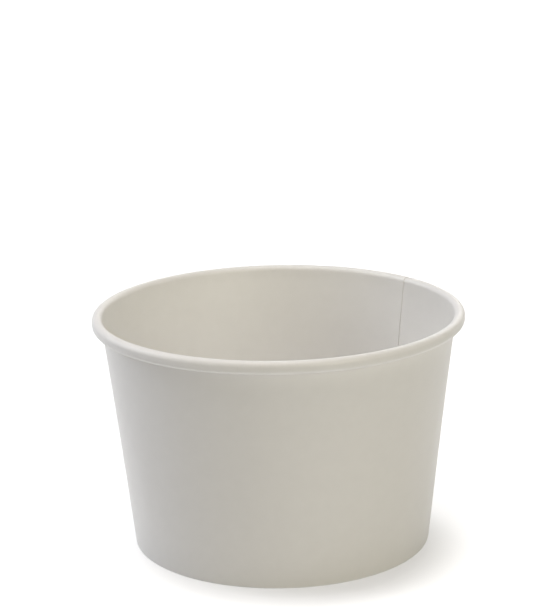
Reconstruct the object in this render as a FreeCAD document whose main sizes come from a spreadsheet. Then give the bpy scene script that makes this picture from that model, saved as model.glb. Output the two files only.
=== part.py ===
import FreeCAD, Part
import math
import os

import Sketcher
from FreeCAD import Placement, Rotation, Vector

# A round paper cup for a sundae, standing on its base with its axis on +Z.
# It is two pieces of coated card: a tapered side wall with a rolled rim, a lap seam and a hem,
# and a bottom disc whose turned-down skirt is sealed inside that hem.
# Lengths are in millimetres and angles in degrees.

doc = FreeCAD.newDocument("paper_cup")

DRIVING_SIZES = [
    ("rim_diameter", "97", "over the rolled rim"),
    ("cup_height", "62", "table to the top of the rim"),
    ("wall_angle", "6.75", "lean of the wall from the vertical"),
    ("wall_card", "0.4", "thickness of the wall's card"),
    ("curl_radius", "1.365", "outer radius of the top of the rim curl"),
    ("curl_drop", "0.6", "straight stretch on the outside of the curl"),
    ("curl_tuck", "0.7", "length of the card's edge tucked up inside the curl"),
    ("curl_gap", "0.05", "air between the tucked edge and the wall"),
    ("fold_radius", "0.06", "inner radius of the folds at the foot of the hem"),
    ("hem_gap", "0.98", "air between the hem's top edge and the underside of the disc"),
    ("disc_card", "0.32", "thickness of the bottom disc's card"),
    ("disc_height", "6.5", "table to the top face of the bottom disc"),
    ("disc_bend", "0.3", "inner radius of the bend from disc to skirt"),
    ("seal_gap", "0.02", "film of seal on each side of the skirt"),
    ("skirt_gap", "0.3", "air between the skirt's lower edge and the fold"),
    ("lap_width", "7", "overlap of the wall's two edges at the seam"),
    ("lap_step", "0.25", "height of a pressed card edge at the seam"),
    ("lap_ramp", "2.5", "length over which the outer edge climbs the inner one"),
    ("lap_clear", "0.24", "distance from the fold at the foot up to the outer edge's step"),
    ("seam_angle", "41", "place of the seam, counter-clockwise from +X"),
]

sheet = doc.addObject("Spreadsheet::Sheet", "Sizes")
for row, (alias, value, meaning) in enumerate(DRIVING_SIZES, start=1):
    sheet.set(f"A{row}", meaning)
    sheet.set(f"B{row}", value)
    sheet.setAlias(f"B{row}", alias)
doc.recompute()


def size(alias):
    return float(sheet.get(alias))


# Expressions that the sketches share
CURL_CENTRE_X = "Sizes.rim_diameter / 2 - Sizes.curl_radius"
CURL_CENTRE_Y = "Sizes.cup_height - Sizes.curl_radius"
LOW_CURL_Y = "Sizes.cup_height - Sizes.curl_radius - Sizes.curl_drop"
WALL_SLOPE = "(90 - Sizes.wall_angle) * 1 deg"
FOLD_OUTER = "Sizes.fold_radius + Sizes.wall_card"
SLOT_WIDTH = "Sizes.disc_card + 2 * Sizes.seal_gap"
HEM_TOP = "Sizes.disc_height - Sizes.disc_card - Sizes.hem_gap"
SKIRT_FOOT = "Sizes.wall_card + Sizes.skirt_gap"
LAP_FOOT = "Sizes.fold_radius + Sizes.wall_card + Sizes.lap_clear"
GROOVE_FOOT = "Sizes.disc_height - Sizes.disc_card - Sizes.hem_gap / 2"
LAP_TURN = "Sizes.lap_width / (Sizes.rim_diameter / 2) * 1 rad"
RAMP_TURN = "Sizes.lap_ramp / (Sizes.rim_diameter / 2) * 1 rad"
FULL_TURN = "360 deg"

# Ends and fixed lines of sketch geometry
START = 1
END = 2
CENTRE = 3
ORIGIN = (-1, 1)
X_AXIS = -1
Y_AXIS = -2

# The same sizes as plain numbers, to draw each sketch near to where its dimensions hold it
CARD = size("wall_card")
CURL_RADIUS = size("curl_radius")
RIM_RADIUS = size("rim_diameter") / 2
LEAN = math.radians(size("wall_angle"))
ALONG = Vector(math.sin(LEAN), math.cos(LEAN), 0)
ACROSS = Vector(math.cos(LEAN), -math.sin(LEAN), 0)
CURL_CENTRE = Vector(RIM_RADIUS - CURL_RADIUS, size("cup_height") - CURL_RADIUS, 0)

# Directions from an arc's centre to its ends, in degrees
TO_RIGHT = 0
TO_TOP = 90
TO_BOTTOM = 270
TO_RIGHT_AGAIN = 360
TO_WALL = 180 - size("wall_angle")
FROM_WALL = -size("wall_angle")


def inwards_of_curl(distance, height):
    """Point at this height on the line that leans as the wall does, this far inwards of the curl's centre."""
    level = CURL_CENTRE - ACROSS * distance
    return level + ALONG * ((height - level.y) / ALONG.y)


def low_curl():
    """Centre and radius of the curl's lower half, which fits between the wall and the outside of the rim."""
    height = CURL_CENTRE.y - size("curl_drop")
    tucked_edge = CURL_RADIUS - CARD - size("curl_gap")
    room = (RIM_RADIUS - inwards_of_curl(tucked_edge, height).x) * ACROSS.x
    radius = room / (1 + ACROSS.x)
    return Vector(RIM_RADIUS - radius, height, 0), radius


def new_body(label):
    body = doc.addObject("PartDesign::Body", label)
    body.Label = label
    return body


def new_sketch(body, name):
    """Sketch on the body's upright XZ plane, where x is the radius and y is the height."""
    sketch = body.newObject("Sketcher::SketchObject", name)
    plane = next(item for item in body.Origin.OriginFeatures if item.Role == "XZ_Plane")
    sketch.AttachmentSupport = (plane, [""])
    sketch.MapMode = "FlatFace"
    return sketch


def turn_back(sketch):
    """Turns an upright sketch about the cup's axis, to where the seam's ramp begins."""
    angle = math.degrees(size("lap_ramp") / RIM_RADIUS)
    sketch.AttachmentOffset = Placement(Vector(), Rotation(Vector(0, -1, 0), angle))
    sketch.setExpression("AttachmentOffset.Rotation.Angle", RAMP_TURN)


def add_line(sketch, start, end):
    return sketch.addGeometry(Part.LineSegment(start, end), False)


def add_arc(sketch, centre, radius, start, end):
    circle = Part.Circle(centre, Vector(0, 0, 1), radius)
    return sketch.addGeometry(Part.ArcOfCircle(circle, math.radians(start), math.radians(end)), False)


def smooth(sketch, first, first_end, second, second_end):
    sketch.addConstraint(Sketcher.Constraint("Tangent", first, first_end, second, second_end))


def corner(sketch, first, first_end, second, second_end):
    sketch.addConstraint(Sketcher.Constraint("Coincident", first, first_end, second, second_end))


def square_corner(sketch, first, first_end, second, second_end):
    corner(sketch, first, first_end, second, second_end)
    sketch.addConstraint(Sketcher.Constraint("Perpendicular", first, second))


def concentric(sketch, first, second):
    corner(sketch, first, CENTRE, second, CENTRE)


def parallel(sketch, first, second):
    sketch.addConstraint(Sketcher.Constraint("Parallel", first, second))


def level(sketch, *lines):
    for line in lines:
        sketch.addConstraint(Sketcher.Constraint("Horizontal", line))


def upright(sketch, *lines):
    for line in lines:
        sketch.addConstraint(Sketcher.Constraint("Vertical", line))


def bind(sketch, name, expression, constraint):
    """Adds a dimension that follows the sheet."""
    index = sketch.addConstraint(constraint)
    sketch.renameConstraint(index, name)
    sketch.setExpression(f"Constraints.{name}", expression)


def bind_radius(sketch, name, expression, arc, value):
    bind(sketch, name, expression, Sketcher.Constraint("Radius", arc, value))


def bind_height(sketch, name, expression, item, end, value):
    bind(sketch, name, expression, Sketcher.Constraint("DistanceY", *ORIGIN, item, end, value))


def bind_length(sketch, name, expression, line, value):
    bind(sketch, name, expression, Sketcher.Constraint("Distance", line, value))


def bind_gap(sketch, name, expression, item, end, line, value):
    bind(sketch, name, expression, Sketcher.Constraint("Distance", item, end, line, value))


def bind_lean(sketch, line):
    angle = Sketcher.Constraint("Angle", line, math.radians(90 - size("wall_angle")))
    bind(sketch, "lean", WALL_SLOPE, angle)


def bind_curl_centre(sketch, arc):
    across = Sketcher.Constraint("DistanceX", *ORIGIN, arc, CENTRE, CURL_CENTRE.x)
    bind(sketch, "curl_centre_x", CURL_CENTRE_X, across)
    bind_height(sketch, "curl_centre_y", CURL_CENTRE_Y, arc, CENTRE, CURL_CENTRE.y)


def lean_on_curl(sketch, line, expression, distance):
    """Keeps a leaning line this far inwards of the curl's centre, with a circle that it touches."""
    circle = sketch.addGeometry(Part.Circle(CURL_CENTRE, Vector(0, 0, 1), distance), True)
    sketch.addConstraint(Sketcher.Constraint("Tangent", line, circle))
    bind_lean(sketch, line)
    bind_curl_centre(sketch, circle)
    bind_radius(sketch, "inwards", expression, circle, distance)


def measure(sketch, name, constraint):
    """Adds a reference dimension, which other sketches read."""
    index = sketch.addConstraint(constraint)
    sketch.setDriving(index, False)
    sketch.renameConstraint(index, name)


def wall_section(body):
    """Outline of the wall's card, up the outside, round the rim curl, down the inside and round the hem."""
    sketch = new_sketch(body, "WallSection")
    fold = size("fold_radius")
    fold_outer = fold + CARD
    slot = size("disc_card") + 2 * size("seal_gap")
    hem_top = size("disc_height") - size("disc_card") - size("hem_gap")
    low_centre, low_radius = low_curl()
    wall_fold = inwards_of_curl(CURL_RADIUS + fold, fold_outer)
    leaf_fold = inwards_of_curl(CURL_RADIUS + slot - fold, fold_outer)
    leaf_top = inwards_of_curl(CURL_RADIUS + slot, hem_top)
    tuck_foot = low_centre - ACROSS * (low_radius - CARD)
    tuck_top = tuck_foot + ALONG * size("curl_tuck")

    outer_top = CURL_CENTRE - ACROSS * (CURL_RADIUS - CARD)
    outer_face = add_line(sketch, wall_fold + ACROSS * fold_outer, outer_top)
    top_inside = add_arc(sketch, CURL_CENTRE, CURL_RADIUS - CARD, TO_RIGHT, TO_WALL)
    drop_inside = add_line(
        sketch,
        CURL_CENTRE + Vector(CURL_RADIUS - CARD, 0, 0),
        low_centre + Vector(low_radius - CARD, 0, 0),
    )
    low_inside = add_arc(sketch, low_centre, low_radius - CARD, TO_WALL, TO_RIGHT_AGAIN)
    tuck_inside = add_line(sketch, tuck_foot, tuck_top)
    tuck_end = add_line(sketch, tuck_top, tuck_top - ACROSS * CARD)
    tuck_outside = add_line(sketch, tuck_top - ACROSS * CARD, tuck_foot - ACROSS * CARD)
    low_outside = add_arc(sketch, low_centre, low_radius, TO_WALL, TO_RIGHT_AGAIN)
    drop_outside = add_line(
        sketch,
        low_centre + Vector(low_radius, 0, 0),
        CURL_CENTRE + Vector(CURL_RADIUS, 0, 0),
    )
    top_outside = add_arc(sketch, CURL_CENTRE, CURL_RADIUS, TO_RIGHT, TO_WALL)
    inner_face = add_line(sketch, CURL_CENTRE - ACROSS * CURL_RADIUS, wall_fold + ACROSS * fold)
    slot_outer = add_arc(sketch, wall_fold, fold, TO_BOTTOM, TO_RIGHT_AGAIN + FROM_WALL)
    slot_floor = add_line(sketch, wall_fold - Vector(0, fold, 0), leaf_fold - Vector(0, fold, 0))
    slot_inner = add_arc(sketch, leaf_fold, fold, TO_WALL, TO_BOTTOM)
    leaf_outside = add_line(sketch, leaf_fold - ACROSS * fold, leaf_top)
    leaf_end = add_line(sketch, leaf_top, leaf_top - ACROSS * CARD)
    leaf_inside = add_line(sketch, leaf_top - ACROSS * CARD, leaf_fold - ACROSS * fold_outer)
    foot_inner = add_arc(sketch, leaf_fold, fold_outer, TO_WALL, TO_BOTTOM)
    land = add_line(sketch, leaf_fold - Vector(0, fold_outer, 0), wall_fold - Vector(0, fold_outer, 0))
    foot_outer = add_arc(sketch, wall_fold, fold_outer, TO_BOTTOM, TO_RIGHT_AGAIN + FROM_WALL)

    smooth(sketch, outer_face, END, top_inside, END)
    smooth(sketch, top_inside, START, drop_inside, START)
    smooth(sketch, drop_inside, END, low_inside, END)
    smooth(sketch, low_inside, START, tuck_inside, START)
    square_corner(sketch, tuck_inside, END, tuck_end, START)
    square_corner(sketch, tuck_end, END, tuck_outside, START)
    smooth(sketch, tuck_outside, END, low_outside, START)
    smooth(sketch, low_outside, END, drop_outside, START)
    smooth(sketch, drop_outside, END, top_outside, START)
    smooth(sketch, top_outside, END, inner_face, START)
    smooth(sketch, inner_face, END, slot_outer, END)
    smooth(sketch, slot_outer, START, slot_floor, START)
    smooth(sketch, slot_floor, END, slot_inner, END)
    smooth(sketch, slot_inner, START, leaf_outside, START)
    square_corner(sketch, leaf_outside, END, leaf_end, START)
    square_corner(sketch, leaf_end, END, leaf_inside, START)
    smooth(sketch, leaf_inside, END, foot_inner, START)
    smooth(sketch, foot_inner, END, land, START)
    smooth(sketch, land, END, foot_outer, START)
    smooth(sketch, foot_outer, END, outer_face, START)

    concentric(sketch, top_inside, top_outside)
    concentric(sketch, low_inside, low_outside)
    concentric(sketch, slot_outer, foot_outer)
    concentric(sketch, slot_inner, foot_inner)
    upright(sketch, drop_inside, drop_outside)
    level(sketch, land)
    sketch.addConstraint(Sketcher.Constraint("PointOnObject", land, START, X_AXIS))
    parallel(sketch, outer_face, tuck_outside)
    parallel(sketch, outer_face, leaf_inside)

    bind_lean(sketch, outer_face)
    bind_curl_centre(sketch, top_outside)
    bind_radius(sketch, "top_outer", "Sizes.curl_radius", top_outside, CURL_RADIUS)
    bind_radius(sketch, "top_inner", "Sizes.curl_radius - Sizes.wall_card", top_inside, CURL_RADIUS - CARD)
    bind_length(sketch, "drop", "Sizes.curl_drop", drop_outside, size("curl_drop"))
    bind_length(sketch, "tuck", "Sizes.curl_tuck", tuck_outside, size("curl_tuck"))
    bind_gap(sketch, "tuck_gap", "Sizes.curl_gap", tuck_outside, START, outer_face, size("curl_gap"))
    bind_radius(sketch, "wall_fold", "Sizes.fold_radius", slot_outer, fold)
    bind_radius(sketch, "leaf_fold", "Sizes.fold_radius", slot_inner, fold)
    bind_radius(sketch, "wall_fold_outer", FOLD_OUTER, foot_outer, fold_outer)
    bind_radius(sketch, "leaf_fold_outer", FOLD_OUTER, foot_inner, fold_outer)
    bind_gap(sketch, "slot", SLOT_WIDTH, leaf_outside, END, inner_face, slot)
    bind_height(sketch, "hem_top", HEM_TOP, leaf_outside, END, hem_top)
    measure(sketch, "low_radius", Sketcher.Constraint("Radius", low_outside, low_radius))
    return sketch


def lap_section(body, name, rise_expression, rise):
    """Strip that the outer card edge adds to the outside of the wall, rooted halfway into the card."""
    sketch = new_sketch(body, name)
    foot = size("fold_radius") + CARD + size("lap_clear")
    top = CURL_CENTRE.y - size("curl_drop")
    inwards = CURL_RADIUS - CARD - rise
    depth = CARD / 2 + rise
    face_foot = inwards_of_curl(inwards, foot)
    face_top = inwards_of_curl(inwards, top)

    face = add_line(sketch, face_foot, face_top)
    upper_end = add_line(sketch, face_top, face_top - ACROSS * depth)
    root = add_line(sketch, face_top - ACROSS * depth, face_foot - ACROSS * depth)
    lower_end = add_line(sketch, face_foot - ACROSS * depth, face_foot)

    square_corner(sketch, face, END, upper_end, START)
    square_corner(sketch, upper_end, END, root, START)
    square_corner(sketch, root, END, lower_end, START)
    corner(sketch, lower_end, END, face, START)
    lean_on_curl(sketch, face, f"Sizes.curl_radius - Sizes.wall_card - {rise_expression}", inwards)
    bind_length(sketch, "depth", f"Sizes.wall_card / 2 + {rise_expression}", upper_end, depth)
    bind_height(sketch, "foot", LAP_FOOT, face, START, foot)
    bind_height(sketch, "top", LOW_CURL_Y, face, END, top)
    return sketch


def groove_section(body, name, depth_expression, depth):
    """What stays open beside the inner card edge, from behind the disc's skirt up and over the rim curl."""
    sketch = new_sketch(body, name)
    foot = size("disc_height") - size("disc_card") - size("hem_gap") / 2
    low_centre, low_radius = low_curl()
    card_side = CURL_RADIUS - depth
    air_side = CURL_RADIUS + CARD
    card_foot = inwards_of_curl(card_side, foot)
    air_foot = card_foot - ACROSS * (air_side - card_side)

    card_line = add_line(sketch, card_foot, CURL_CENTRE - ACROSS * card_side)
    card_top = add_arc(sketch, CURL_CENTRE, card_side, TO_RIGHT, TO_WALL)
    card_drop = add_line(
        sketch,
        CURL_CENTRE + Vector(card_side, 0, 0),
        low_centre + Vector(low_radius - depth, 0, 0),
    )
    card_low = add_arc(sketch, low_centre, low_radius - depth, TO_BOTTOM, TO_RIGHT_AGAIN)
    low_end = add_line(
        sketch,
        low_centre - Vector(0, low_radius - depth, 0),
        low_centre - Vector(0, low_radius + CARD, 0),
    )
    air_low = add_arc(sketch, low_centre, low_radius + CARD, TO_BOTTOM, TO_RIGHT_AGAIN)
    air_drop = add_line(
        sketch,
        low_centre + Vector(low_radius + CARD, 0, 0),
        CURL_CENTRE + Vector(air_side, 0, 0),
    )
    air_top = add_arc(sketch, CURL_CENTRE, air_side, TO_RIGHT, TO_WALL)
    air_line = add_line(sketch, CURL_CENTRE - ACROSS * air_side, air_foot)
    foot_end = add_line(sketch, air_foot, card_foot)

    smooth(sketch, card_line, END, card_top, END)
    smooth(sketch, card_top, START, card_drop, START)
    smooth(sketch, card_drop, END, card_low, END)
    corner(sketch, card_low, START, low_end, START)
    corner(sketch, low_end, END, air_low, START)
    smooth(sketch, air_low, END, air_drop, START)
    smooth(sketch, air_drop, END, air_top, START)
    smooth(sketch, air_top, END, air_line, START)
    square_corner(sketch, air_line, END, foot_end, START)
    corner(sketch, foot_end, END, card_line, START)
    concentric(sketch, card_top, air_top)
    concentric(sketch, card_low, air_low)
    upright(sketch, card_drop, air_drop, low_end)
    sketch.addConstraint(Sketcher.Constraint("Vertical", card_low, CENTRE, card_low, START))
    parallel(sketch, card_line, air_line)

    bind_lean(sketch, card_line)
    bind_curl_centre(sketch, card_top)
    bind_height(sketch, "low_centre_y", LOW_CURL_Y, card_low, CENTRE, low_centre.y)
    bind_radius(sketch, "card_top", f"Sizes.curl_radius - {depth_expression}", card_top, card_side)
    bind_radius(sketch, "air_top", "Sizes.curl_radius + Sizes.wall_card", air_top, air_side)
    low_expression = f"WallSection.Constraints.low_radius - {depth_expression} * 1 mm"
    bind_radius(sketch, "card_low", low_expression, card_low, low_radius - depth)
    bind_height(sketch, "foot", GROOVE_FOOT, card_line, START, foot)
    return sketch


def disc_section(body):
    """Half outline of the disc, its bend and its skirt, from the axis outwards and back."""
    sketch = new_sketch(body, "DiscSection")
    card = size("disc_card")
    top = size("disc_height")
    bend = size("disc_bend")
    inwards = CURL_RADIUS + size("seal_gap")
    foot = CARD + size("skirt_gap")
    bend_centre = inwards_of_curl(inwards + card + bend, top - card - bend)
    skirt_foot = inwards_of_curl(inwards, foot)

    top_face = add_line(sketch, Vector(0, top, 0), bend_centre + Vector(0, bend + card, 0))
    bend_outside = add_arc(sketch, bend_centre, bend + card, FROM_WALL, TO_TOP)
    skirt_outside = add_line(sketch, skirt_foot, bend_centre + ACROSS * (bend + card))
    skirt_end = add_line(sketch, skirt_foot, skirt_foot - ACROSS * card)
    skirt_inside = add_line(sketch, skirt_foot - ACROSS * card, bend_centre + ACROSS * bend)
    bend_inside = add_arc(sketch, bend_centre, bend, FROM_WALL, TO_TOP)
    under_face = add_line(sketch, bend_centre + Vector(0, bend, 0), Vector(0, top - card, 0))
    axis = add_line(sketch, Vector(0, top - card, 0), Vector(0, top, 0))

    smooth(sketch, top_face, END, bend_outside, END)
    smooth(sketch, bend_outside, START, skirt_outside, END)
    square_corner(sketch, skirt_outside, START, skirt_end, START)
    square_corner(sketch, skirt_end, END, skirt_inside, START)
    smooth(sketch, skirt_inside, END, bend_inside, START)
    smooth(sketch, bend_inside, END, under_face, START)
    corner(sketch, under_face, END, axis, START)
    corner(sketch, axis, END, top_face, START)
    concentric(sketch, bend_outside, bend_inside)
    level(sketch, top_face, under_face)
    upright(sketch, axis)
    sketch.addConstraint(Sketcher.Constraint("PointOnObject", axis, START, Y_AXIS))

    lean_on_curl(sketch, skirt_outside, "Sizes.curl_radius + Sizes.seal_gap", inwards)
    bind_height(sketch, "top", "Sizes.disc_height", axis, END, top)
    bind_radius(sketch, "bend", "Sizes.disc_bend", bend_inside, bend)
    bind_radius(sketch, "outer_bend", "Sizes.disc_bend + Sizes.disc_card", bend_outside, bend + card)
    bind_height(sketch, "foot", SKIRT_FOOT, skirt_outside, START, foot)
    return sketch


def revolve(body, name, sketch, angle_expression):
    feature = body.newObject("PartDesign::Revolution", name)
    feature.Profile = (sketch, [""])
    feature.ReferenceAxis = (sketch, ["V_Axis"])
    feature.setExpression("Angle", angle_expression)
    return feature


def loft(body, kind, name, first, last):
    feature = body.newObject(kind, name)
    feature.Profile = (first, [""])
    feature.Sections = [last]
    feature.Ruled = True
    return feature


def make_side_wall():
    """Card wall with its rim curl and hem, then the lap seam: a step outside and a groove inside."""
    body = new_body("side_wall")
    wall = revolve(body, "Wall", wall_section(body), FULL_TURN)

    lap_end = lap_section(body, "LapSection", "Sizes.lap_step", size("lap_step"))
    lap = revolve(body, "Lap", lap_end, LAP_TURN)
    lap_start = lap_section(body, "LapStart", "0", 0)
    turn_back(lap_start)
    ramp = loft(body, "PartDesign::AdditiveLoft", "LapRamp", lap_start, lap_end)

    groove_end = groove_section(body, "GrooveSection", "Sizes.lap_step", size("lap_step"))
    groove_start = groove_section(body, "GrooveStart", "0", 0)
    turn_back(groove_start)
    groove = loft(body, "PartDesign::SubtractiveLoft", "SeamGroove", groove_start, groove_end)

    body.Placement = Placement(Vector(), Rotation(Vector(0, 0, 1), size("seam_angle")))
    body.setExpression("Placement.Rotation.Angle", "Sizes.seam_angle * 1 deg")
    return body, [wall, lap, ramp, groove]


def make_bottom_disc():
    """Card disc with its skirt, centred on the cup's axis."""
    body = new_body("bottom_disc")
    revolve(body, "Disc", disc_section(body), FULL_TURN)
    body.Placement = Placement()
    return body


def check_document():
    for item in doc.Objects:
        if "Invalid" in item.State or "Error" in item.State:
            raise RuntimeError(f"{item.Name} failed: {item.State}")


def check_piece(body):
    if body.Shape.isNull() or not body.Shape.isValid() or len(body.Shape.Solids) != 1:
        raise RuntimeError(f"{body.Label} is not one valid solid")


def check_seam(wall, lap, ramp, groove):
    """The step and its ramp add card to the wall, and the groove takes some away."""
    if not wall.Shape.Volume < lap.Shape.Volume < ramp.Shape.Volume:
        raise RuntimeError("the seam's outer edge adds nothing to the wall")
    if not groove.Shape.Volume < ramp.Shape.Volume:
        raise RuntimeError("the seam's groove cuts nothing from the wall")


side_wall, wall_features = make_side_wall()
bottom_disc = make_bottom_disc()
doc.recompute()
check_document()
check_seam(*wall_features)

os.makedirs("parts", exist_ok=True)
for piece in (side_wall, bottom_disc):
    check_piece(piece)
    piece.Shape.exportStep(f"parts/{piece.Label}.step")
    print(f"{piece.Label}: {piece.Shape.Volume:.1f} mm3")
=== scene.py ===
"""Paper sundae cup: its card, seam, rolled rim and recessed bottom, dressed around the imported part."""

import math

import bpy
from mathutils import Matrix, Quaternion, Vector


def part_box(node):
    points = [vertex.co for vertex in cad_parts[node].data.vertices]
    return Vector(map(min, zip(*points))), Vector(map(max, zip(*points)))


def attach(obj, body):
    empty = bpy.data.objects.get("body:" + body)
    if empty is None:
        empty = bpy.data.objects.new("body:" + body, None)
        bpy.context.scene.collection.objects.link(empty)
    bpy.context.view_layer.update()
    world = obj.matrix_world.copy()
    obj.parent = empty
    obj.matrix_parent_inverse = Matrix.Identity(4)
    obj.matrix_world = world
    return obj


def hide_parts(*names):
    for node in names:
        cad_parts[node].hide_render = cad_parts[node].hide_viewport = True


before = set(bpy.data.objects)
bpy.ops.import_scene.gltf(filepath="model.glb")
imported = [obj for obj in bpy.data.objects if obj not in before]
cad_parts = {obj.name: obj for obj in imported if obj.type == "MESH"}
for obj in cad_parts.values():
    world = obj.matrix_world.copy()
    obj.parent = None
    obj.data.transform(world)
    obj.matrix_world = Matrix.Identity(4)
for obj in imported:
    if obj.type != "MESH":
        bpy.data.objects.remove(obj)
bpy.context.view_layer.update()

MM = 0.001

# Sizes that the imported part gives
wall_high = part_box("side_wall")[1]
disc_low, disc_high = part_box("bottom_disc")
RIM_RADIUS = wall_high.x
CUP_HEIGHT = wall_high.z
DISC_TOP = disc_high.z
SKIRT_FOOT = disc_low.z

# Sizes of the card and of how it is rolled and folded, the same as in the part
WALL_ANGLE = math.radians(6.75)
WALL_CARD = 0.4 * MM
DISC_CARD = 0.32 * MM
ROLL_RADIUS = 1.365 * MM
ROLL_DROP = 0.6 * MM
ROLL_TUCK = 0.7 * MM
ROLL_GAP = 0.05 * MM
FOLD_RADIUS = 0.06 * MM
SEAL_GAP = 0.02 * MM
HEM_GAP = 0.98 * MM
DISC_BEND = 0.3 * MM
LAP_WIDTH = 7 * MM
LAP_RAMP = 2.5 * MM
SEAM_ANGLE = math.radians(41)

# How thin the presses leave each of the two layers where the card overlaps, the edge that shows inside,
# and the height below which the wall is pressed as the hem is
LAYERS_APART = 0.01 * MM
LAYER_AT_EDGE = 0.15 * MM
LAYER_ON_WALL = 0.32 * MM
LAYER_IN_HEM = 0.195 * MM
PRESSED_BELOW = 1 * MM

# How far the rolled rim's lower half strays from the drawn section, and where it hangs lowest
ROLL_SAG = 0.3 * MM
LOW_SIDE = math.radians(235)

# The sag round the rim is a level and a sum of waves: each one's share, how many go round the cup,
# where it starts, and how far it turns on the way up
SAG_LEVEL = 0.36
SAG_WAVES = ((0.4, 1, 0, 0), (0.16, 2, 0, 0), (0.08, 5, 1, 0))

# How far the wall wavers in and out where nothing stiffens it, between which heights, and its waves
WALL_WAVER = 0.22 * MM
WAVER_FROM = DISC_TOP + 1 * MM
WAVER_TO = CUP_HEIGHT - 5 * MM
WAVER_LEVEL = 0.5
WAVER_WAVES = ((0.25, 7, 0.6, 0), (0.15, 13, 2.1, 2), (0.1, 23, 4, -3))

# How deep the fine creases over the roll are, and the heights between which they come in
CREASE_DEPTH = 0.15 * MM
CREASES_FROM = CUP_HEIGHT - 3.6 * MM
CREASES_FULL = CUP_HEIGHT - 1.2 * MM

# The upright grooves that seal the hem: their depth, their reach, and how many steps apart they are
KNURL_DEPTH = 0.13 * MM
KNURL_FROM = 1.3 * MM
KNURL_TO = 4.3 * MM
KNURL_PITCH = 3

# The photograph's camera
SENSOR = 36
LENS = 129.41
CAMERA_RISE = math.radians(15.196)
CAMERA_ROLL = math.radians(-1.164)
CAMERA_DISTANCE = 572.407 * MM
CAMERA_AIM = Vector((-2.869, 0, 62.916)) * MM

# Softboxes: how far off and how wide they are, then each one's way round, rise, power and colour.
# The way round is in degrees from the camera's side, positive to the right. The one underneath shines
# up through the floor.
LAMP_DISTANCE = 2.4
LAMP_SIZE = 1.35
LAMPS = {
    "left_side": (-106, 30, 19, (0.89, 0.93, 1)),
    "left_high": (-100, 58, 10, (1, 0.98, 1)),
    "right_front": (34, 20, 19, (1, 0.95, 0.77)),
    "front_high": (0, 77, 14, (1, 0.92, 0.87)),
    "behind": (160, 28, 8, (1, 0.98, 0.95)),
    "overhead": (0, 89, 10, (1, 0.98, 0.96)),
    "underneath": (0, -89, 12, (1, 0.99, 0.99)),
}

# The floor, and how much it is lifted towards white, by the distance from a point at the cup's front right:
# little close to the cup, which paints a shadow there on top of the cup's cast shadow, more beside it, and
# most where the lamps no longer reach
FLOOR_RADIUS = 4
FLOOR_CORNERS = 64
FLOOR_GREY = (0.6, 0.6, 0.6, 1)
PAINTED_SHADOW_CENTRE = Vector((3, -10, 0)) * MM
LIFT_IN_PAINTED_SHADOW = 0.34
LIFT_BESIDE = 0.75
LIFT_FAR = 1
PAINTED_SHADOW_FROM = 31 * MM
PAINTED_SHADOW_TO = 50 * MM
FAR_FROM = 200 * MM
FAR_TO = 1600 * MM

# Steps that the wall's sheet is turned in, over its overlap, its single layer and the climb onto its
# own edge, and those of the disc
LAP_STEPS = 8
SINGLE_STEPS = 342
CLIMB_STEPS = 4
DISC_STEPS = 240

# Steps that the bends of the two sections are made in
FOLD_BEND_STEPS = 6
ROLL_BEND_STEPS = 14
DISC_BEND_STEPS = 8

# Where the straight stretches have vertices, as shares of their length: closer together near a bend
HEM_STOPS = (0.14, 0.2, 0.5, 0.8, 0.86, 1)
WALL_STOPS = (0.004, 0.012, 0.03, 0.06, 0.11, 0.2, 0.3, 0.4, 0.5, 0.6, 0.7, 0.8, 0.9, 0.96, 0.99, 1)
ROLL_SIDE_STOPS = (0.5, 1)
DISC_STOPS = (0.08, 0.2, 0.35, 0.5, 0.65, 0.8, 0.9, 0.96, 0.985, 1)
SKIRT_STOPS = (0.1, 0.5, 1)

# Vertices nearer than this are made one, and edges that turn by more than this stay sharp
WELD_DISTANCE = 0.001 * MM
SHARP_CORNER = math.radians(40)

# Patterns on the laid-out card: how many to the metre, and how they are stretched along the section
CLOUDS_PER_METRE = 260
FIBRES_PER_METRE = 2400
CREASES_PER_METRE = 620
FIBRE_STRETCH = (1, 0.35, 1)
CREASE_STRETCH = (1, 0.15, 1)

# Finishes: the colour where the fibres lie thin and where they lie thick, the roughness from smoothest
# to roughest, how far the fibres stand up, and how strongly the surface shines
FINISHES = {
    # The inside's colours are set lighter than the outside's as painted light that brightens the cup's inside
    "inside_coating_painted_lighter": ((0.865, 0.855, 0.83, 1), (0.905, 0.895, 0.87, 1), (0.32, 0.44), 0.015 * MM, 0.5),
    "outside_coating": ((0.8, 0.79, 0.765, 1), (0.84, 0.83, 0.805, 1), (0.58, 0.7), 0.02 * MM, 0.12),
    "raw_edge": ((0.72, 0.69, 0.63, 1), (0.8, 0.78, 0.73, 1), (0.8, 0.95), 0.05 * MM, 0.2),
}

# Directions along the sloping wall and straight out of it, in the section's plane
UP_WALL = Vector((math.sin(WALL_ANGLE), 0, math.cos(WALL_ANGLE)))
OFF_WALL = Vector((math.cos(WALL_ANGLE), 0, -math.sin(WALL_ANGLE)))
ROLL_CENTRE = Vector((RIM_RADIUS - ROLL_RADIUS, 0, CUP_HEIGHT - ROLL_RADIUS))
QUARTER = math.pi / 2


def along_wall(height, inwards):
    """Point at this height on the line that slopes as the wall does, this far inwards of its inside face."""
    level = ROLL_CENTRE - OFF_WALL * (ROLL_RADIUS + inwards)
    return level + UP_WALL * ((height - level.z) / UP_WALL.z)


def select_only(piece, chosen):
    """Leaves the piece in edit mode with just the chosen vertices selected."""
    bpy.ops.object.mode_set(mode="EDIT")
    bpy.ops.mesh.select_mode(type="VERT")
    bpy.ops.mesh.select_all(action="DESELECT")
    bpy.ops.object.mode_set(mode="OBJECT")
    for vertex in piece.data.vertices:
        vertex.select = chosen(vertex)
    bpy.ops.object.mode_set(mode="EDIT")


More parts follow.
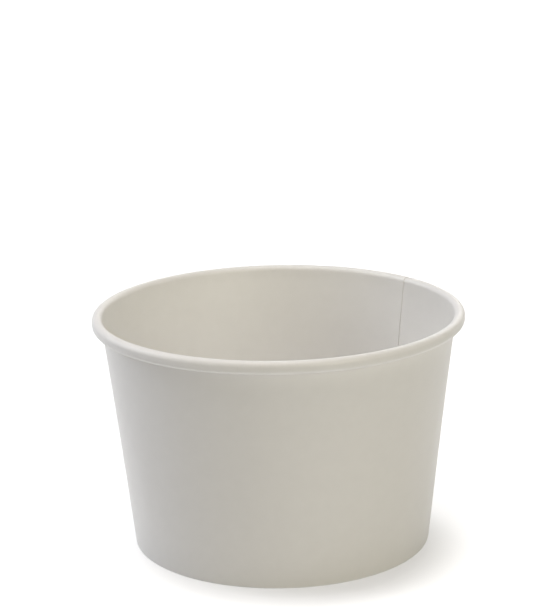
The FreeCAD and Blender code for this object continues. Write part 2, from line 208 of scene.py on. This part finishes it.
def start_section(name, point):
    """New piece at the origin, in edit mode, whose one vertex is the first point of its section."""
    bpy.ops.object.select_all(action="DESELECT")
    bpy.ops.mesh.primitive_plane_add(size=MM, location=(0, 0, 0))
    piece = bpy.context.object
    piece.name = name
    piece.data.name = name
    bpy.ops.object.mode_set(mode="EDIT")
    bpy.ops.mesh.select_mode(type="VERT")
    bpy.ops.mesh.merge(type="CENTER")
    bpy.ops.transform.translate(value=point)
    return piece


def draw_run(start, end, stops=(1,)):
    """Straight stretch of the section, with a vertex at each of these shares of its length."""
    place = start
    for stop in stops:
        step = start.lerp(end, stop) - place
        bpy.ops.mesh.extrude_vertices_move(TRANSFORM_OT_translate={"value": step})
        place = place + step
    return end


def draw_arc(centre, start, turn, steps):
    """Round stretch of the section. Seen with the height upwards, a positive turn is anticlockwise."""
    bpy.ops.mesh.spin(steps=steps, angle=turn, center=centre, axis=(0, 1, 0))
    return centre + Quaternion((0, 1, 0), -turn) @ (start - centre)


def turn_section(turn, steps):
    """Turns the selected section about the cup's axis, anticlockwise seen from above."""
    bpy.ops.mesh.spin(steps=steps, angle=turn, center=(0, 0, 0), axis=(0, 0, -1))


def section_lengths(piece, first_point):
    """Length along the section from its first point to each of its vertices, before it is turned."""
    bpy.ops.object.mode_set(mode="OBJECT")
    mesh = piece.data
    neighbours = {vertex.index: [] for vertex in mesh.vertices}
    for edge in mesh.edges:
        one, other = edge.vertices
        neighbours[one].append(other)
        neighbours[other].append(one)
    here = min(mesh.vertices, key=lambda vertex: (vertex.co - first_point).length).index
    lengths = {here: 0.0}
    ahead = neighbours[here]
    while ahead:
        there = ahead[0]
        lengths[there] = lengths[here] + (mesh.vertices[there].co - mesh.vertices[here].co).length
        here = there
        ahead = [item for item in neighbours[here] if item not in lengths]
    bpy.ops.object.mode_set(mode="EDIT")
    bpy.ops.mesh.select_all(action="SELECT")
    return lengths


def draw_wall_section():
    """The card's inside face, from the hem's top down, round the fold, up the wall and over the roll."""
    fold_height = FOLD_RADIUS + WALL_CARD
    slot = DISC_CARD + 2 * SEAL_GAP
    hem_top = along_wall(DISC_TOP - DISC_CARD - HEM_GAP, slot)
    inner_fold = along_wall(fold_height, slot - FOLD_RADIUS)
    outer_fold = along_wall(fold_height, FOLD_RADIUS)
    piece = start_section("cup_wall", hem_top)
    place = draw_run(hem_top, inner_fold - OFF_WALL * FOLD_RADIUS, HEM_STOPS)
    place = draw_arc(inner_fold, place, QUARTER + WALL_ANGLE, FOLD_BEND_STEPS)
    place = draw_run(place, outer_fold - Vector((0, 0, FOLD_RADIUS)))
    place = draw_arc(outer_fold, place, QUARTER - WALL_ANGLE, FOLD_BEND_STEPS)
    top = ROLL_CENTRE - OFF_WALL * ROLL_RADIUS
    place = draw_run(place, top, WALL_STOPS)
    place = draw_arc(ROLL_CENTRE, place, WALL_ANGLE - math.pi, ROLL_BEND_STEPS)
    low_height = ROLL_CENTRE.z - ROLL_DROP
    tucked = along_wall(low_height, -WALL_CARD - ROLL_GAP)
    low_radius = (RIM_RADIUS - tucked.x) * OFF_WALL.x / (1 + OFF_WALL.x)
    low_centre = Vector((RIM_RADIUS - low_radius, 0, low_height))
    place = draw_run(place, Vector((RIM_RADIUS, 0, low_height)), ROLL_SIDE_STOPS)
    place = draw_arc(low_centre, place, -WALL_ANGLE - math.pi, ROLL_BEND_STEPS)
    draw_run(place, place + UP_WALL * ROLL_TUCK)
    return piece, hem_top


def in_hem(point):
    """Whether a point of the sheet is on the hem's leaf, round its fold or just above it."""
    middle_of_slot = DISC_CARD / 2 + SEAL_GAP
    reach = math.hypot(point.x, point.y)
    return point.z < PRESSED_BELOW or reach < along_wall(point.z, middle_of_slot).x


def roll_share(point):
    """How far round the roll a point is: 0 at its crest, 1 at its lowest line and in its tucked edge."""
    outside_wall = math.hypot(point.x, point.y) > along_wall(point.z, -WALL_CARD / 2).x
    if not outside_wall:
        return 0
    return min(1, (CUP_HEIGHT - point.z) / (2 * ROLL_RADIUS))


def lift_rings(piece, first, lift, chosen=lambda vertex: True):
    """Moves the sheet outwards from this vertex on, among the chosen ones."""
    select_only(piece, lambda vertex: vertex.index >= first and chosen(vertex))
    bpy.ops.transform.shrink_fatten(value=-lift)


def add_waves(waves, angle, height=0):
    """Sum of the waves at this angle round the cup and this share of the height."""
    return sum(share * math.cos(count * angle + start + twist * height)
               for share, count, start, twist in waves)


def sag_share(point):
    """How far the roll hangs down at a point, from 0 to 1."""
    angle = math.atan2(point.y, point.x) + SEAM_ANGLE - LOW_SIDE
    return max(0, SAG_LEVEL + add_waves(SAG_WAVES, angle)) * roll_share(point)


def waver_share(point):
    """How far in the wall stands at a point, from 0 to 1. It fades out towards the disc and the roll."""
    height = (point.z - WAVER_FROM) / (WAVER_TO - WAVER_FROM)
    if in_hem(point) or not 0 < height < 1:
        return 0
    angle = math.atan2(point.y, point.x)
    return math.sin(math.pi * height) * (WAVER_LEVEL + add_waves(WAVER_WAVES, angle, height))


def climb_onto_edge(piece, rows):
    """Lifts the sheet's last stretch off its own first edge: in steps to the thin edge, then over it."""
    first_ring = LAP_STEPS + SINGLE_STEPS
    for step in range(1, CLIMB_STEPS + 1):
        lift_rings(piece, (first_ring + step) * rows, (LAYER_AT_EDGE + LAYERS_APART) / CLIMB_STEPS)
    onto_lap = (first_ring + CLIMB_STEPS + 1) * rows
    lift_rings(piece, onto_lap, LAYER_IN_HEM - LAYER_AT_EDGE)
    lift_rings(piece, onto_lap, LAYER_ON_WALL - LAYER_IN_HEM, lambda vertex: not in_hem(vertex.co))


def overlap_share(ring):
    """How far a ring of the sheet is into the overlap: 1 in both layers, falling to 0 over the climb."""
    last_ring = 2 * LAP_STEPS + SINGLE_STEPS + CLIMB_STEPS
    if ring <= LAP_STEPS:
        return 1
    return max(0, 1 - max(0, last_ring - LAP_STEPS - ring) / CLIMB_STEPS)


def card_left(point, ring):
    """The card's thickness at a point of this ring of the sheet, once it is pressed."""
    if ring == 0:
        return LAYER_AT_EDGE
    pressed = LAYER_IN_HEM if in_hem(point) else LAYER_ON_WALL
    return WALL_CARD - (WALL_CARD - pressed) * overlap_share(ring)


def weigh_wall(piece, rows):
    """Vertex groups for the card's thickness where it is pressed, the roll's sag and the wall's waver."""
    card_group = piece.vertex_groups.new(name="full_card")
    sag_group = piece.vertex_groups.new(name="roll_sag")
    waver_group = piece.vertex_groups.new(name="wall_waver")
    for vertex in piece.data.vertices:
        card = card_left(vertex.co, vertex.index // rows)
        card_group.add([vertex.index], (card - LAYER_AT_EDGE) / (WALL_CARD - LAYER_AT_EDGE), "REPLACE")
        sag_group.add([vertex.index], sag_share(vertex.co), "REPLACE")
        waver_group.add([vertex.index], waver_share(vertex.co), "REPLACE")


def lay_out_card(piece, rows, turns, lengths, radius):
    """UV map in metres: across is the way round at this radius, and up is the length along the section."""
    layer = piece.data.uv_layers.new(name="card")
    for loop in piece.data.loops:
        ring, row = divmod(loop.vertex_index, rows)
        layer.data[loop.index].uv = (turns[ring] * radius, lengths[row])


def lay_out_round(piece, bend):
    """UV map in metres: the round from above, with its skirt, below the bend, laid out beyond its edge."""
    layer = piece.data.uv_layers.new(name="card")
    for loop in piece.data.loops:
        place = piece.data.vertices[loop.vertex_index].co
        across = place.xy
        drop = DISC_TOP - place.z
        if drop > bend:
            across += across.normalized() * drop
        layer.data[loop.index].uv = across


def apply_modifier(piece, kind, **settings):
    """Adds a modifier with these settings and applies it."""
    modifier = piece.modifiers.new(kind.lower(), kind)
    for name, value in settings.items():
        setattr(modifier, name, value)
    bpy.ops.object.modifier_apply(modifier=modifier.name)


def thicken(piece, **settings):
    """Gives the sheet its card. The second face and the raw edges take the next two materials."""
    apply_modifier(piece, "SOLIDIFY", offset=-1, use_even_offset=True, use_quality_normals=True,
                   material_offset=1, material_offset_rim=2, **settings)


def knurl_hem(piece, rows, sheet_count):
    """Presses upright grooves into the leaf of the hem, on the face that looks into the recess."""
    def grooved(vertex):
        ring = (vertex.index - sheet_count) // rows
        in_reach = in_hem(vertex.co) and KNURL_FROM < vertex.co.z < KNURL_TO
        return ring >= 0 and ring % KNURL_PITCH == 1 and in_reach

    select_only(piece, grooved)
    bpy.ops.transform.shrink_fatten(value=-KNURL_DEPTH)


def turn_to_seam(piece):
    """Turns the finished piece so that its inner edge stands at the seam."""
    bpy.ops.object.mode_set(mode="EDIT")
    bpy.ops.mesh.select_all(action="SELECT")
    bpy.ops.transform.rotate(value=-SEAM_ANGLE, orient_axis="Z", center_override=(0, 0, 0))
    bpy.ops.object.mode_set(mode="OBJECT")
    bpy.ops.object.shade_smooth_by_angle(angle=SHARP_CORNER)


def build_wall():
    """One sheet of card, turned once round the cup and on over its own first edge."""
    piece, first_point = draw_wall_section()
    lengths = section_lengths(piece, first_point)
    rows = len(lengths)
    lap_turn = LAP_WIDTH / RIM_RADIUS
    climb_turn = LAP_RAMP / RIM_RADIUS
    single_turn = 2 * math.pi - lap_turn - climb_turn
    turns = [0]
    for turn, steps in ((lap_turn, LAP_STEPS), (single_turn, SINGLE_STEPS),
                        (climb_turn, CLIMB_STEPS), (lap_turn, LAP_STEPS)):
        turn_section(turn, steps)
        turns += [turns[-1] + turn * (step + 1) / steps for step in range(steps)]
    climb_onto_edge(piece, rows)
    bpy.ops.object.mode_set(mode="OBJECT")
    weigh_wall(piece, rows)
    lay_out_card(piece, rows, turns, lengths, (RIM_RADIUS + disc_high.x) / 2)
    sheet_count = len(piece.data.vertices)
    apply_modifier(piece, "DISPLACE", direction="Z", mid_level=0, strength=-ROLL_SAG,
                   vertex_group="roll_sag")
    apply_modifier(piece, "DISPLACE", direction="NORMAL", mid_level=0, strength=WALL_WAVER,
                   vertex_group="wall_waver")
    thicken(piece, thickness=WALL_CARD, vertex_group="full_card",
            thickness_vertex_group=LAYER_AT_EDGE / WALL_CARD)
    knurl_hem(piece, rows, sheet_count)
    turn_to_seam(piece)
    return piece


def build_disc():
    """One punched round of card whose skirt is turned down between the wall and the hem."""
    bend = DISC_BEND + DISC_CARD
    bend_centre = along_wall(DISC_TOP - bend, SEAL_GAP + bend)
    middle = Vector((0, 0, DISC_TOP))
    piece = start_section("cup_bottom", middle)
    flat_end = bend_centre + Vector((0, 0, bend))
    place = draw_run(middle, flat_end, DISC_STOPS)
    place = draw_arc(bend_centre, place, -QUARTER - WALL_ANGLE, DISC_BEND_STEPS)
    draw_run(place, along_wall(SKIRT_FOOT, SEAL_GAP), SKIRT_STOPS)
    bpy.ops.mesh.select_all(action="SELECT")
    turn_section(2 * math.pi, DISC_STEPS)
    bpy.ops.mesh.select_all(action="SELECT")
    bpy.ops.mesh.remove_doubles(threshold=WELD_DISTANCE)
    bpy.ops.object.mode_set(mode="OBJECT")
    lay_out_round(piece, bend)
    thicken(piece, thickness=DISC_CARD)
    bpy.ops.object.shade_smooth_by_angle(angle=SHARP_CORNER)
    return piece


def add_node(tree, kind, inputs=None, **settings):
    """New node. Each input is a value, or another node's output that is linked to it."""
    node = tree.nodes.new("ShaderNode" + kind)
    for name, value in settings.items():
        setattr(node, name, value)
    for name, value in (inputs or {}).items():
        if isinstance(value, bpy.types.NodeSocket):
            tree.links.new(value, node.inputs[name])
        else:
            node.inputs[name].default_value = value
    return node


def new_material(name):
    """New material with no nodes, and its tree."""
    material = bpy.data.materials.new(name)
    material.use_nodes = True
    material.node_tree.nodes.clear()
    return material, material.node_tree


def make_card_face_group():
    """Card close up: clouds where its fibres lie thicker, the fibres, and the creases of its roll."""
    group = bpy.data.node_groups.new("card_face", "ShaderNodeTree")
    for name in ("Sheet", "Place"):
        group.interface.new_socket(name, in_out="INPUT", socket_type="NodeSocketVector")
    for name in ("Clouds", "Fibres", "Creases"):
        group.interface.new_socket(name, in_out="OUTPUT", socket_type="NodeSocketFloat")
    inlet = group.nodes.new("NodeGroupInput")
    outlet = group.nodes.new("NodeGroupOutput")
    sheet = inlet.outputs["Sheet"]
    clouds = add_node(group, "TexNoise",
                      {"Vector": sheet, "Scale": CLOUDS_PER_METRE, "Detail": 3, "Roughness": 0.6})
    lengthwise = add_node(group, "Mapping", {"Vector": sheet, "Scale": FIBRE_STRETCH}).outputs["Vector"]
    fibres = add_node(group, "TexNoise",
                      {"Vector": lengthwise, "Scale": FIBRES_PER_METRE, "Detail": 5, "Roughness": 0.65})
    upright = add_node(group, "Mapping", {"Vector": sheet, "Scale": CREASE_STRETCH}).outputs["Vector"]
    folds = add_node(group, "TexNoise", {"Vector": upright, "Scale": CREASES_PER_METRE, "Detail": 3})
    height = add_node(group, "SeparateXYZ", {"Vector": inlet.outputs["Place"]})
    rolled = add_node(group, "MapRange",
                      {"Value": height.outputs["Z"], "From Min": CREASES_FROM, "From Max": CREASES_FULL})
    creases = add_node(group, "Math", {0: folds.outputs["Fac"], 1: rolled.outputs["Result"]},
                       operation="MULTIPLY")
    group.links.new(clouds.outputs["Fac"], outlet.inputs["Clouds"])
    group.links.new(fibres.outputs["Fac"], outlet.inputs["Fibres"])
    group.links.new(creases.outputs["Value"], outlet.inputs["Creases"])
    return group


def add_card_face(tree, group):
    """The card's close look, laid on by the piece's own UV map and, for the creases, its height."""
    sheet = add_node(tree, "UVMap", uv_map="card")
    place = add_node(tree, "TexCoord")
    face = tree.nodes.new("ShaderNodeGroup")
    face.node_tree = group
    tree.links.new(sheet.outputs["UV"], face.inputs["Sheet"])
    tree.links.new(place.outputs["Object"], face.inputs["Place"])
    return face


def make_coated_material(name, group, thin_colour, thick_colour, gloss, relief, shine):
    """Card with a finish: a little darker where the fibres lie thin, with the fibres faintly raised in it."""
    material, tree = new_material(name)
    face = add_card_face(tree, group)
    colour = add_node(tree, "MixRGB",
                      {"Fac": face.outputs["Clouds"], "Color1": thin_colour, "Color2": thick_colour})
    rough = add_node(tree, "MapRange",
                     {"Value": face.outputs["Fibres"], "To Min": gloss[0], "To Max": gloss[1]})
    creased = add_node(tree, "Bump",
                       {"Height": face.outputs["Creases"], "Strength": 1, "Distance": CREASE_DEPTH})
    bump = add_node(tree, "Bump", {"Height": face.outputs["Fibres"], "Strength": 1, "Distance": relief,
                                   "Normal": creased.outputs["Normal"]})
    shader = add_node(tree, "BsdfPrincipled",
                      {"Base Color": colour.outputs["Color"], "Normal": bump.outputs["Normal"],
                       "Roughness": rough.outputs["Result"], "Specular IOR Level": shine})
    add_node(tree, "OutputMaterial", {"Surface": shader.outputs["BSDF"]})
    return material


def either(tree, one, other):
    """Mask that is on where either of two is."""
    return add_node(tree, "Math", {0: one, 1: other}, operation="MAXIMUM").outputs["Value"]


def fade(tree, distance, from_low, from_high, to_low, to_high):
    """Value that goes smoothly from one strength to another as the distance grows."""
    node = add_node(tree, "MapRange", {"Value": distance, "From Min": from_low, "From Max": from_high,
                                       "To Min": to_low, "To Max": to_high}, interpolation_type="SMOOTHSTEP")
    return node.outputs["Result"]


def make_floor():
    """Pale floor, lifted to white where the camera or a reflection sees it, but less round the cup's foot,
    which paints a shadow there on top of the cast one, and clear from below.
    """
    bpy.ops.object.select_all(action="DESELECT")
    bpy.ops.mesh.primitive_circle_add(vertices=FLOOR_CORNERS, radius=FLOOR_RADIUS, fill_type="NGON",
                                      location=(0, 0, 0))
    floor = bpy.context.object
    floor.name = "floor"
    material, tree = new_material("floor_paper")
    paper = add_node(tree, "BsdfDiffuse", {"Color": FLOOR_GREY})
    rays = add_node(tree, "LightPath").outputs
    place = add_node(tree, "TexCoord")
    away = add_node(tree, "VectorMath", {0: place.outputs["Object"], 1: PAINTED_SHADOW_CENTRE}, operation="DISTANCE")
    # Lower lift near the cup: a painted shadow round its foot, added to the shadow the lamps cast
    near = fade(tree, away.outputs["Value"], PAINTED_SHADOW_FROM, PAINTED_SHADOW_TO, LIFT_IN_PAINTED_SHADOW, LIFT_BESIDE)
    far = fade(tree, away.outputs["Value"], FAR_FROM, FAR_TO, 0, LIFT_FAR - LIFT_BESIDE)
    lifted = add_node(tree, "Math", {0: near, 1: far}, operation="ADD")
    seen = either(tree, rays["Is Camera Ray"], rays["Is Glossy Ray"])
    lift = add_node(tree, "Math", {0: seen, 1: lifted.outputs["Value"]}, operation="MULTIPLY")
    glow = add_node(tree, "Emission", {"Strength": lift.outputs["Value"]})
    both = add_node(tree, "AddShader", {0: paper.outputs["BSDF"], 1: glow.outputs["Emission"]})
    clear = add_node(tree, "BsdfTransparent")
    under = add_node(tree, "NewGeometry")
    passes = either(tree, under.outputs["Backfacing"], rays["Is Shadow Ray"])
    one_sided = add_node(tree, "MixShader",
                         {"Fac": passes, 1: both.outputs["Shader"], 2: clear.outputs["BSDF"]})
    add_node(tree, "OutputMaterial", {"Surface": one_sided.outputs["Shader"]})
    floor.data.materials.append(material)


def make_world():
    """White where the camera or a reflection sees it, and dark to everything else."""
    world = bpy.data.worlds.new("studio")
    bpy.context.scene.world = world
    world.use_nodes = True
    tree = world.node_tree
    tree.nodes.clear()
    rays = add_node(tree, "LightPath").outputs
    seen = either(tree, rays["Is Camera Ray"], rays["Is Glossy Ray"])
    seen = either(tree, seen, rays["Is Transmission Ray"])
    white = add_node(tree, "Background", {"Color": (1, 1, 1, 1), "Strength": seen})
    add_node(tree, "OutputWorld", {"Surface": white.outputs["Background"]})


def add_softbox(name, way_round, rise, power, colour):
    """Square lamp that looks at the cup's foot and that the camera doesn't see."""
    light = bpy.data.lights.new(name, "AREA")
    light.size = LAMP_SIZE
    light.energy = power
    light.color = colour
    lamp = bpy.data.objects.new(name, light)
    bpy.context.scene.collection.objects.link(lamp)
    round_angle, rise_angle = math.radians(way_round), math.radians(rise)
    level = math.cos(rise_angle)
    way = Vector((math.sin(round_angle) * level, -math.cos(round_angle) * level, math.sin(rise_angle)))
    lamp.location = way * LAMP_DISTANCE
    lamp.rotation_mode = "QUATERNION"
    lamp.rotation_quaternion = way.to_track_quat("Z", "Y")
    lamp.visible_camera = False


def make_lamps():
    for name, settings in LAMPS.items():
        add_softbox(name, *settings)


def make_camera():
    """Camera at the photograph's angle and framing."""
    camera = bpy.data.objects.new("camera", bpy.data.cameras.new("camera"))
    bpy.context.scene.collection.objects.link(camera)
    camera.data.sensor_width = SENSOR
    camera.data.lens = LENS
    back = Vector((0, -math.cos(CAMERA_RISE), math.sin(CAMERA_RISE)))
    camera.location = CAMERA_AIM + back * CAMERA_DISTANCE
    camera.rotation_mode = "QUATERNION"
    camera.rotation_quaternion = back.to_track_quat("Z", "Y") @ Quaternion((0, 0, 1), CAMERA_ROLL)
    bpy.context.scene.camera = camera


def dress(piece, materials, node):
    """Gives the piece its finishes for inside, outside and raw edges, hangs it under the root body, and hides
    the part's node that it stands in for.
    """
    for material in materials:
        piece.data.materials.append(material)
    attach(piece, "root")
    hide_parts(node)


card_face = make_card_face_group()
finishes = [make_coated_material(name, card_face, *finish) for name, finish in FINISHES.items()]
dress(build_wall(), finishes, "side_wall")
dress(build_disc(), finishes, "bottom_disc")
make_floor()
make_world()
make_lamps()
make_camera()
bpy.context.scene.view_settings.view_transform = "Standard"
